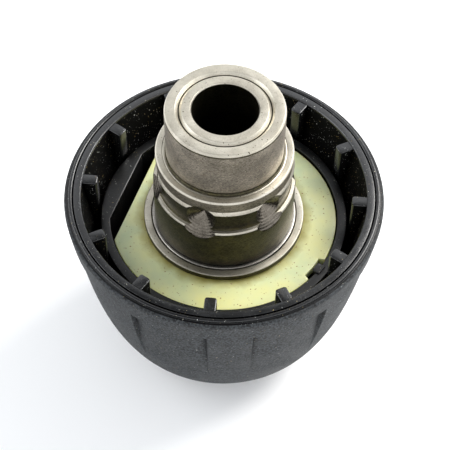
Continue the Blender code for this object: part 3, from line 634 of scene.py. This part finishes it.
def key_tool(materials):
    """Two drive keys along the bore, rounded bars with sloping ends."""
    half = 1.3
    top_r, root_r = BORE_R - 1.3, BORE_R + 0.6
    corners = [(top_r, -half, 0.25), (root_r, -half, 0.05), (root_r, half, 0.05), (top_r, half, 0.25)]
    outline = rounded(corners)[0]
    levels = TUBE_FRONT + np.array([4.5, 5.3, 21.7, 22.5])
    lean = np.array([0.9, 0, 0, 0.9])
    pieces = []
    for index, degrees in enumerate((90, -90)):
        near = np.maximum(outline[None, :, 0], top_r + lean[:, None])
        across = np.broadcast_to(outline[:, 1], near.shape)
        bar = np.stack([near, across, np.broadcast_to(levels[:, None], near.shape)], -1)
        pieces.append(loft(f"key_{index}", turn_z(bar, degrees), materials, DARK, closed=False))
    return several("key_tool", pieces)


def make_receiver(metals):
    """The turned receiver, then its drive keys, dimples and ball slots.

    Its outline runs up the outside, from the front face with its two clip grooves past the snap
    ring's groove, the machine's lock groove and the shoulder to the spigot, and down the bore.
    """
    groove = RIM - 5.45
    floor_r = 10.5
    socket = TUBE_END - 22.0
    # Slots along the outline: FACE on up-facing faces as painted light, SIDE and DARK on sides, grooves,
    # bore and under lips as painted shade.
    corners = [
        (BORE_R + 0.4, TUBE_FRONT, 0.05, FACE),
        (FRONT_R - 0.4, TUBE_FRONT, 0.1, SIDE),
        (FRONT_R, TUBE_FRONT + 0.4, 0.1, SIDE),
        (FRONT_R, TUBE_FRONT + 0.9, 0.05, SIDE),
        (FRONT_R - 0.9, TUBE_FRONT + 0.9, 0.08, SIDE),
        (FRONT_R - 0.9, TUBE_FRONT + 2.0, 0.08, SIDE),
        (FRONT_R, TUBE_FRONT + 2.0, 0.05, SIDE),
        (FRONT_R, TUBE_FRONT + 2.7, 0.05, SIDE),
        (FRONT_R - 0.9, TUBE_FRONT + 2.7, 0.08, SIDE),
        (FRONT_R - 0.9, TUBE_FRONT + 4.0, 0.08, SIDE),
        (FRONT_R, TUBE_FRONT + 4.0, 0.05, SIDE),
        (FRONT_R, SEAT_START - 1.2, 0.3, FACE),
        (BODY_R, SEAT_START - 1.2, 0.2, DARK),
        (BODY_R, groove - 0.95, 0.05, DARK),
        (floor_r, groove - 0.95, 0.08, DARK),
        (floor_r, groove + 0.3, 0.08, DARK),
        (BODY_R, groove + 0.3, 0.05, DARK),
        (BODY_R, RIM + 2.83, 0.04, FACE),
        (BODY_R - 0.15, RIM + 3.15, 0.04, FACE),
        (BODY_R - 0.75, RIM + 3.15, 0.15, DARK),
        (BODY_R - 0.75, RIM + 7.19, 0.12, DARK),
        (BODY_R - 0.33, RIM + 7.19, 0.04, FACE),
        (BODY_R - 0.58, RIM + 7.85, 0.05, SIDE),
        (BODY_R - 0.55, RIM + 9.75, 0.04, FACE),
        (BODY_R - 0.75, RIM + 10.0, 0.05, FACE),
        (SPIGOT_R + 0.55, RIM + 10.0, 0.03, DARK),
        (SPIGOT_R + 0.50, RIM + 9.90, 0.02, FACE),
        (SPIGOT_R + 0.35, RIM + 9.95, 0.04, FACE),
        (SPIGOT_R + 0.05, RIM + 9.90, 0.10, DARK),
        (SPIGOT_R - 0.18, RIM + 10.15, 0.10, DARK),
        (SPIGOT_R, RIM + 10.6, 0.10, SIDE),
        (SPIGOT_R, TUBE_END - 0.75, 0.05, DARK),
        (SPIGOT_R - 0.10, TUBE_END - 0.62, 0.03, SIDE),
        (SPIGOT_R, TUBE_END - 0.42, 0.05, FACE),
        (SPIGOT_R - 0.18, TUBE_END, 0.06, FACE),
        (SOCKET_R + 0.42, TUBE_END, 0.06, FACE),
        (SOCKET_R, TUBE_END - 0.45, 0.03, DARK),
        (SOCKET_R, socket, 0.1, DARK),
        (BORE_R, socket, 0.1, DARK),
        (BORE_R, TUBE_FRONT + 0.4, 0.1, DARK),
    ]
    receiver = turned("receiver", corners, metals, longest=0.8)
    join_with(receiver, key_tool(metals), "UNION")
    join_with(receiver, dimple_tool(metals), "DIFFERENCE")
    join_with(receiver, slot_tool(metals), "DIFFERENCE")
    placed(receiver, "receiver", "receiver_tube")


def make_bush(metals):
    """The bush, bevelled where it meets the spigot's bevel, so that a V runs round the joint."""
    corners = [
        (BORE_R, BUSH_START, 0.1, DARK),
        (BUSH_R, BUSH_START, 0.1, DARK),
        (BUSH_R, TUBE_END - 0.45, 0.03, FACE),
        (BUSH_R - 0.42, TUBE_END - 0.02, 0.10, FACE),
        (BORE_R + 0.16, TUBE_END - 0.02, 0.04, FACE),
        (BORE_R, TUBE_END - 0.25, 0.08, DARK),
    ]
    placed(turned("bush", corners, metals, longest=2.0), "receiver", "guide_bush")


def make_rear_rings(metals, spring_metal):
    """The collar, whose rear recess traps the snap ring, and the ring itself."""
    edge = DISC_BORE_R + 1.55
    recess_r = 11.80
    corners = [
        (DISC_BORE_R, COLLAR_START, 0.05, DARK),
        (edge, COLLAR_START, 0.15, DARK),
        (edge, COLLAR_END - 0.12, 0.04, FACE),
        (edge - 0.10, COLLAR_END, 0.08, FACE),
        (recess_r, COLLAR_END, 0.04, FACE),
        (recess_r, COLLAR_START + 0.4, 0.05, DARK),
        (DISC_BORE_R, COLLAR_START + 0.4, 0.05, DARK),
    ]
    placed(turned("collar", corners, metals), "receiver", "rear_collar")
    rounds = (0.10, 0.10, 0.18, 0.10)
    corners = box_corners(BODY_R - 0.55, recess_r - 0.15, REAR_SNAP_START, REAR_SNAP_END, rounds)
    ring = open_ring("rear_wire", corners, REAR_MOUTH_DEG, [spring_metal])
    placed(ring, "receiver", "rear_snap_ring")


def make_inner_steel(metals, hardened, spring_metal):
    """Washers, lock ring, clips, plate, balls and spring, which the sleeve hides."""
    low, high = heights("front_snap_ring")
    corners = box_corners(8.1, 9.5, low, high, (0.15, 0.15, 0.15, 0.15))
    ring = open_ring("front_wire", corners, FRONT_MOUTH_DEG, [spring_metal])
    placed(ring, "receiver", "front_snap_ring")

    low, high = heights("front_washer")
    corners = [
        (9.0, low + 0.9, 0.05),
        (9.7, low + 0.9, 0.08),
        (9.7, low, 0.08),
        (12.85, low, 0.2),
        (12.85, high, 0.2),
        (9.0, high, 0.1),
    ]
    placed(turned("stop_washer", corners, metals), "receiver", "front_washer")

    ramp_angle = math.atan(RAMP_SLOPE)
    touch_r = BALL_REST_R + BALL_R * math.cos(ramp_angle) + RUN_GAP / math.cos(ramp_angle)
    touch_z = BALL_Z + BALL_R * math.sin(ramp_angle)
    front_r = touch_r + (touch_z - LOCK_START) * RAMP_SLOPE
    rear_r = front_r - (LOCK_END - LOCK_START) * RAMP_SLOPE
    corners = [
        (front_r, LOCK_START, 0.25),
        (13.5, LOCK_START, 0.3),
        (13.5, LOCK_END, 0.3),
        (rear_r, LOCK_END, 0.15),
    ]
    placed(turned("ramp_ring", corners, [hardened]), "sleeve", "lock_ring")

    corners = box_corners(12.9, CLIP_GROOVE_R - RUN_GAP, CLIP_START, CLIP_END, (0.12, 0.12, 0.12, 0.12))
    clip = open_ring("ramp_ring_wire", corners, CLIP_MOUTH_DEG, [spring_metal])
    placed(clip, "sleeve", "lock_ring_clip")

    low, high = heights("grip_snap_ring")
    corners = box_corners(14.5, 15.9, low, high, (0.15, 0.15, 0.15, 0.15))
    wire = open_ring("grip_wire", corners, GRIP_MOUTH_DEG, [spring_metal])
    placed(wire, "sleeve", "grip_snap_ring")

    low, high = heights("holding_plate")
    corners = box_corners(9.0, 12.5, low, high, (0.15, 0.3, 0.3, 0.15))
    placed(turned("ball_plate", corners, [hardened]), "plate", "holding_plate")

    low, high = heights("spring_seat")
    corners = box_corners(DISC_BORE_R, 15.0, low, high, (0.1, 0.2, 0.2, 0.1))
    placed(turned("seat_washer", corners, metals), "receiver", "spring_seat")

    for side, name in ((1, "right"), (-1, "left")):
        ball = make_ball(f"ball_{name}", side, hardened)
        placed(ball, f"ball_{name}", f"locking_ball_{name}")
    placed(make_spring(spring_metal), "receiver", "lock_spring")


def make_ball(name, side, hardened):
    """A sphere: circles of latitude from pole to pole about the vertical."""
    latitude = np.linspace(-math.pi / 2, math.pi / 2, 33)[1:-1]
    half = np.stack([BALL_R * np.cos(latitude), BALL_Z + BALL_R * np.sin(latitude)], 1)
    angles = whole_turn(BALL_COLUMNS)
    rings = np.stack(
        [
            side * BALL_REST_R + half[:, :1] * np.cos(angles),
            half[:, :1] * np.sin(angles),
            np.broadcast_to(half[:, 1:], (len(half), len(angles))),
        ],
        -1,
    )
    return loft(name, rings, [hardened], closed=False, sharp_deg=60)


def make_spring(metal):
    """A cone coil of round wire.

    The radius grows evenly with the turn and the height follows 3t^2 - 2t^3, so both ends lie
    nearly flat; the wire's circle stands square to the coil at each step.
    """
    wire_r, turns, steps = 0.7, 3.25, 240
    front_r, widening = 10.9, 2.5
    low, high = heights("lock_spring")
    share = np.linspace(0, 1, steps)
    angle = math.tau * turns * share
    radius = front_r + widening * share
    height = low + wire_r + (high - low - 2 * wire_r) * eased(share)
    ring = whole_turn(16)
    out = radius[:, None] + wire_r * np.cos(ring)
    rise = height[:, None] + wire_r * np.sin(ring)
    sections = np.stack([out * np.cos(angle)[:, None], out * np.sin(angle)[:, None], rise], -1)
    return loft("cone_spring", sections, [metal], closed=False, sharp_deg=60)


# Nylon disc, rubber and plastic pieces

def eased(value):
    """0 to 1 with a soft start and end: 3v^2 - 2v^3 of the clamped value."""
    value = np.clip(value, 0, 1)
    return value * value * (3 - 2 * value)


def from_angle(angles, degrees):
    """Signed distance of each angle from a direction, in radians."""
    return (angles - math.radians(degrees) + math.pi) % math.tau - math.pi


def crowded(centres, half_width_deg, count):
    """A whole turn of angles, with extra ones close to the given directions."""
    spread = np.linspace(-1, 1, count) * math.radians(half_width_deg)
    extra = [math.radians(centre) + spread for centre in centres]
    angles = np.concatenate([whole_turn()] + extra) % math.tau
    return np.unique(np.round(angles, 5))


def flat_radius(angles, direction_deg, distance, reach):
    """Distance of a flat over the cosine of the angle from its normal, within a reach in radians."""
    off = from_angle(angles, direction_deg)
    radius = distance / np.cos(np.clip(off, -reach, reach))
    return np.where(np.abs(off) < reach, radius, FAR_OUT)


def make_disc(material):
    """A flat ring whose outer edge is a circle cut by one flat and one notch.

    At each angle the outer radius is the least of the circle, the flat's distance over the cosine of
    the angle from its normal, and the notch's floor; the outline is drawn in to it in proportion.
    """
    corners = [
        (DISC_BORE_R, DISC_START, 0.1),
        (DISC_R, DISC_START, 0.2),
        (DISC_R, DISC_END, 0.16),
        (DISC_BORE_R, DISC_END, 0.1),
    ]
    outline = denser(*rounded(corners), 1.2)[0]
    flat_half, notch_half = 34.9, 6.8
    edges = [FLAT_DEG - flat_half, FLAT_DEG + flat_half, NOTCH_DEG - notch_half, NOTCH_DEG + notch_half]
    angles = crowded(edges, 1.6, 18)
    flat_r = flat_radius(angles, FLAT_DEG, DISC_FLAT, 1.2)
    off_notch = np.abs(from_angle(angles, NOTCH_DEG)) * DISC_R
    notch = 0.9 * eased((2.35 - off_notch) / 0.3)
    edge = np.minimum(DISC_R, flat_r) - notch
    pull = (edge - DISC_BORE_R) / (DISC_R - DISC_BORE_R)
    shaped = np.repeat(outline[None], len(angles), 0)
    shaped[..., 0] = DISC_BORE_R + (outline[None, :, 0] - DISC_BORE_R) * pull[:, None]
    disc = loft("guide_disc", around(shaped, angles), [material])
    placed(disc, "disc", "rear_disc")


def make_slider(material):
    """The hub, its cone and nose. The hub's bore is a circle with one flat, like the disc."""
    shoulder = HUB_FLOOR - 1.0
    groove_start, groove_end = GRIP_FRONT + 0.10, GRIP_FRONT + 1.20
    groove_r = NOSE_R - GRIP_GROOVE_DEPTH
    lip_r = 13.05
    clip_start, clip_end = CLIP_START - CLIP_GROOVE_GAP, CLIP_END + CLIP_GROOVE_GAP
    corners = [
        (lip_r, SLIDER_FRONT, 0.3),
        (NOSE_R, SLIDER_FRONT, 0.4),
        (NOSE_R, groove_start, 0.05),
        (groove_r, groove_start, 0.05),
        (groove_r, groove_end, 0.05),
        (NOSE_R, groove_end, 0.05),
        (NOSE_R, shoulder - 5.0, 0.3),
        (HUB_R, shoulder, 0.4),
        (HUB_R, HUB_END, 0.14),
        (HUB_BORE_R, HUB_END, 0.14),
        (HUB_BORE_R, HUB_FLOOR, 0.1),
        (16.9, HUB_FLOOR, 0.3),
        (SLIDER_BORE_R, HUB_FLOOR - 3.2, 0.3),
        (SLIDER_BORE_R, clip_end, 0.05),
        (CLIP_GROOVE_R, clip_end, 0.05),
        (CLIP_GROOVE_R, clip_start, 0.05),
        (SLIDER_BORE_R, clip_start, 0.05),
        (SLIDER_BORE_R, LOCK_START - 0.25, 0.1),
        (lip_r, LOCK_START - 0.25, 0.1),
    ]
    outline = denser(*rounded(corners), 2.0)[0]
    flat_half = 22.7
    angles = crowded([FLAT_DEG - flat_half, FLAT_DEG + flat_half], 2.0, 12)
    bore = np.minimum(HUB_BORE_R, flat_radius(angles, FLAT_DEG, HUB_FLAT, 1.0))
    in_hub = (outline[:, 1] > HUB_FLOOR + 0.02) & (outline[:, 0] > 17.5)
    pull = (HUB_R - bore)[:, None] / (HUB_R - HUB_BORE_R)
    shaped = np.repeat(outline[None], len(angles), 0)
    drawn = HUB_R - (HUB_R - outline[None, :, 0]) * pull
    shaped[..., 0] = np.where(in_hub[None], drawn, shaped[..., 0])
    slider = loft("slider", around(shaped, angles), [material])
    tab = rib_bar("tab", 17.8, 19.1, 1.8, HUB_FLOOR - 0.4, HUB_END + 0.25, NOTCH_DEG, 0.3, 0.0, [material])
    join_with(slider, tab, "UNION")
    placed(slider, "sleeve", "inner_slider")


def rib_bar(name, near, far, width, low, high, degrees, round_mm, draft, materials, side_slot=0):
    """An upright bar from one radius to another with rounded inner corners and top edge.

    The bar's outline shrinks towards its root by a quarter circle's inset over the top edge. The root
    leans inwards by the draft at the foot, and the flanks behind the nose take the side's slot.
    """
    half = width / 2
    corners = [(near, -half, round_mm), (far, -half, 0), (far, half, 0), (near, half, round_mm)]
    outline = rounded(corners, 5)[0]
    edge = 0.16
    turn = np.linspace(0, math.pi / 2, 5)
    inset = np.concatenate([[0.0], edge * (1 - np.cos(turn))])[:, None]
    levels = np.concatenate([[low], high - edge + edge * np.sin(turn)])[:, None]
    x = far + (outline[None, :, 0] - far) * (1 - inset / (far - near))
    y = outline[None, :, 1] * (half - inset) / half
    x = np.where(outline[None, :, 0] > far - 0.1, far - draft * (levels < high - 2), x)
    bar = np.stack([x, y, np.broadcast_to(levels, x.shape)], -1)
    slots = np.zeros((len(levels) - 1, bar.shape[1]), int)
    slots[0] = np.where(x[0] > near + 0.35, side_slot, 0)
    return loft(name, turn_z(bar, degrees), materials, slots.ravel(), closed=False)


def belly_r(drop):
    """Grip radius at a drop under the rim: nose radius plus width times (1 - share^1.1)^(1/2.35)."""
    share = np.clip((drop - BELLY_START) / BELLY_LENGTH, 0, 1)
    return BELLY_NOSE_R + (RIM_R - BELLY_NOSE_R) * (1 - share**BELLY_POWER) ** (1 / BELLY_ROOT)


def make_core(materials):
    """The ribbed shell: its outside follows the belly under the cover."""
    drops = BELLY_START + BELLY_LENGTH * SHELL_SHARE * (1 - (1 - np.linspace(0, 1, 12)) ** 1.6)
    belly = [(belly_r(drop) - SHELL_IN, RIM - drop, 0.05) for drop in drops]
    shoulder = HUB_FLOOR - 1.25
    cavity = RIM - CAVITY_DEPTH
    flange_r, foot_r = 17.0, 16.1
    inner_r, hub_side_r = NOSE_R + RUN_GAP, HUB_R + RUN_GAP
    corners = [
        (RIM_BORE_R, RIM - 0.22, 0.05, 0),
        (RIM_BORE_R + 0.14, RIM - 0.08, 0.08, 0),
        (SEAM_R, RIM - 0.08, 0.08),
        *belly,
        (flange_r, GRIP_FRONT + 1.35, 0.1),
        (flange_r, GRIP_FRONT, 0.25),
        (foot_r, GRIP_FRONT, 0.1),
        (foot_r, GRIP_FRONT + 1.3, 0.1),
        (inner_r, GRIP_FRONT + 1.3, 0.1),
        (inner_r, shoulder - 5.0, 0.3),
        (hub_side_r, shoulder, 0.3),
        # The cavity's floor and outer wall take the second, near-black material as painted shade.
        (hub_side_r, cavity, 0.1, 1),
        (RIM_BORE_R - 1.65, cavity, 0.3, 1),
        (RIM_BORE_R - 0.05, RIM - 0.45, 0.05, 0),
    ]
    core = turned("core", corners, materials, longest=3.0)
    near, far = HUB_R + 0.36, RIM_BORE_R + 0.35
    low, high = cavity - 0.4, RIM - RIB_DROP
    bars = []
    # The ribs' flanks behind the nose take the second material too, as painted shade between the ribs.
    for index in range(RIB_COUNT):
        degrees = RIB_FIRST_DEG + 360 / RIB_COUNT * index
        name = f"rib_{index}"
        bars.append(rib_bar(name, near, far, RIB_WIDTH, low, high, degrees, 0.4, 1.5, materials, 1))
    join_with(core, several("ribs", bars), "UNION")
    placed(core, "sleeve", "grip_core")


def recess(angles, drop):
    """Depth of the shallow panels: full at the sides and less in the middle by a parabola's crown.

    A steep edge runs round the top and sides, and the depth fades out down the belly.
    """
    pitch = math.tau / PANEL_COUNT
    half = math.radians(PANEL_HALF_DEG)
    off = np.abs((from_angle(angles, PANEL_FIRST_DEG) + pitch / 2) % pitch - pitch / 2)
    crowned = PANEL_DEPTH - PANEL_CROWN * (1 - np.minimum(off / half, 1) ** 2)
    across = eased((half - off) / math.radians(PANEL_EDGE_DEG))
    top = eased((drop - PANEL_TOP) / 0.4)
    fade = 1 - eased((drop - 5.0) / 17.5)
    return (crowned * across)[:, None] * (top * fade)[None]


def make_cover(soft, bead):
    """The soft grip: bead at the rim, a neck under it, then the belly with its panels."""
    meet = (COVER_FRONT_R - BELLY_NOSE_R) / (RIM_R - BELLY_NOSE_R)
    last = (1 - meet**BELLY_ROOT) ** (1 / BELLY_POWER)
    spaced = BELLY_START + BELLY_LENGTH * last * (1 - (1 - np.linspace(0, 1, 70)) ** 1.5)
    drops = np.unique(np.concatenate([spaced, np.linspace(PANEL_TOP - 0.1, PANEL_TOP + 0.5, 9)]))
    seam_r, top, neck = SEAM_R + 0.15, RIM - 0.02, RIM - 0.50
    head, head_slots = rounded_open(
        [
            (seam_r, RIM - 1.0, 0.05, 1),
            (seam_r, top, BEAD_ROUND, 1),
            (BEAD_R, top, BEAD_ROUND, 1),
            # The neck's flat takes the bead's darker material, as painted shade in the groove under the
            # bead.
            (BEAD_R, neck, 0.12, 1),
            (RIM_R - 0.14, neck, 0.30, 0),
            (RIM_R, RIM - BELLY_START, 0.05, 0),
        ]
    )
    outer = np.stack([belly_r(drops), RIM - drops], 1)
    front = np.array([[COVER_FRONT_R, GRIP_FRONT + 0.4], [COVER_FRONT_R, GRIP_FRONT + 1.2]])
    inner_drops = BELLY_START + BELLY_LENGTH * SHELL_SHARE * np.linspace(1, 0, 24)
    inner = np.stack([belly_r(inner_drops) - COVER_IN, RIM - inner_drops], 1)
    outline = np.concatenate([head, outer, front, inner])
    edge_deg = PANEL_HALF_DEG - 0.45
    middles = PANEL_FIRST_DEG + 360 / PANEL_COUNT * np.arange(PANEL_COUNT)
    angles = crowded([*(middles - edge_deg), *(middles + edge_deg)], 0.8, 9)
    depth = np.zeros((len(angles), len(outline)))
    start = len(head)
    depth[:, start : start + len(outer)] = recess(angles, drops)
    shaped = np.repeat(outline[None], len(angles), 0)
    shaped[..., 0] -= depth
    slots = np.zeros(len(outline), int)
    slots[: len(head)] = head_slots
    cover = loft("cover", around(shaped, angles), [soft, bead], slots, sharp_deg=40)
    placed(cover, "sleeve", "grip_cover")


def rounded_open(corners):
    """The rounded outline of the corners without the first and last corner's arcs."""
    steps = 6
    outline, slots = rounded(corners, steps)
    kept = slice(steps + 1, -steps - 1)
    return outline[kept], slots[kept]


def make_rubber(material):
    """Dust cap with a wiping lip round its hole, and the bore seal."""
    low, high = heights("dust_cap")
    flat_r, cap_r, hole_r, tube_r, bead_r = 9.2, 12.65, 5.3, 9.0, 8.1
    bead_start, bead_end = TUBE_FRONT + 1.1, TUBE_FRONT + 1.8
    floor_end = low + 1.2
    dome = [
        (flat_r + (cap_r - flat_r) * math.sin(turn), low + (high - low - 1.0) * (1 - math.cos(turn)), 0)
        for turn in np.linspace(0, math.pi / 2, 9)[1:]
    ]
    corners = [
        (hole_r, low + 0.35, 0.12),
        (hole_r + 0.35, low, 0.15),
        (flat_r, low, 0.2),
        *dome,
        (cap_r, high, 0.25),
        (tube_r, high, 0.1),
        (tube_r, bead_end, 0.05),
        (bead_r, bead_end, 0.1),
        (bead_r, bead_start, 0.1),
        (tube_r, bead_start, 0.05),
        (tube_r, floor_end, 0.1),
        (hole_r, floor_end, 0.25),
    ]
    placed(turned("cap", corners, [material]), "receiver", "dust_cap")
    low, high = heights("bore_seal")
    corners = [
        (5.2, low, 0.1),
        (6.85, low, 0.2),
        (6.85, high, 0.1),
        (6.35, high, 0.1),
        (5.0, high - 0.5, 0.1),
    ]
    placed(turned("seal", corners, [material]), "receiver", "bore_seal")


def main():
    make_camera()
    make_studio()

    # Ground end faces and up-facing ledges and chamfers: bright, warm grey, fine even grain; their
    # brightness is partly painted light.
    face = steel("ground steel face, partly painted light", "#9F998B", "#D3CEC0", 0.36, 0.14, pits=0.03)
    # Turned sides under a film of old oil: browner, with faint lathe rings, and darker partly as painted
    # shade.
    side = steel("turned steel, oil film, partly painted shade", "#6B645A", "#BDB4A4", 0.42, 0.16, 0.10, "#74695A")
    # Grooves, bore, ball slots, undersides of lips and lower body: greasy, olive brown, and dark partly as
    # painted shade.
    dark = steel("oiled steel, dark partly as painted shade", "#2A271F", "#625D49", 0.38, 0.18, 0.12, "#4A4428")
    # Drilled dimples: freshly cut look, shiny on the rings, and darker than the faces as painted shade in
    # the hollows.
    pit = steel("drilled steel, darkened as painted shade", "#3A352E", "#8C857A", 0.28, 0.24, pits=0.02)
    metals = [face, side, dark, pit]
    # Hidden steel: drawn wire, and ground parts that take the balls' load.
    spring_metal = steel("drawn spring steel", "#6F6C68", "#B8B4AC", 0.32, 0.20)
    hardened = steel("hardened ground steel", "#85827C", "#BDB9B1", 0.22, 0.20)
    # Hub and slider: satin black, with grease that holds the dust.
    hub = black_plastic("moulded black acetal, dusty", "#0D0E0F", 0.34, 0.020, 0.22, "#1B1D1F", 0.30, 0.012)
    # Glass-filled nylon shell: slate grey where light grazes it.
    hard = black_plastic(
        "moulded glass-filled black nylon", "#0E1012", 0.20, 0.016, 0.22, "#1B1F23", 0.30, 0.012, gloss=0.85
    )
    # The same nylon, rougher and dustier, near black and dull as painted shade on the cavity's floor and
    # outer wall and on the ribs' flanks.
    cavity_shade_nylon = black_plastic("nylon darkened as painted cavity shade", "#040404", 0.70, 0.034, 0.24, "#070707", gloss=0.10)
    # Soft elastomer from a spark-eroded mould: fine matt grain, charcoal.
    soft = black_plastic(
        "spark-eroded black elastomer", "#363A3D", 0.60, 0.008, 0.24, "#42464A", 0.34, 0.05, gloss=0.3
    )
    # The bead is the same elastomer from a polished part of the mould; it also covers the neck's flat under
    # it, as painted shade in the groove.
    bead = black_plastic("polished black elastomer", "#07080A", 0.22, 0.006, 0.24, "#0E1013", gloss=0.6)
    # Rubber of the cap and the seal, and the disc's unpigmented nylon.
    cap_rubber = rubber("moulded black rubber", "#1A1A19")
    natural = nylon()

    make_receiver(metals)
    make_bush(metals)
    make_rear_rings(metals, spring_metal)
    make_inner_steel([side], hardened, spring_metal)
    make_disc(natural)
    make_slider(hub)
    make_core([hard, cavity_shade_nylon])
    make_cover(soft, bead)
    make_rubber(cap_rubber)


main()
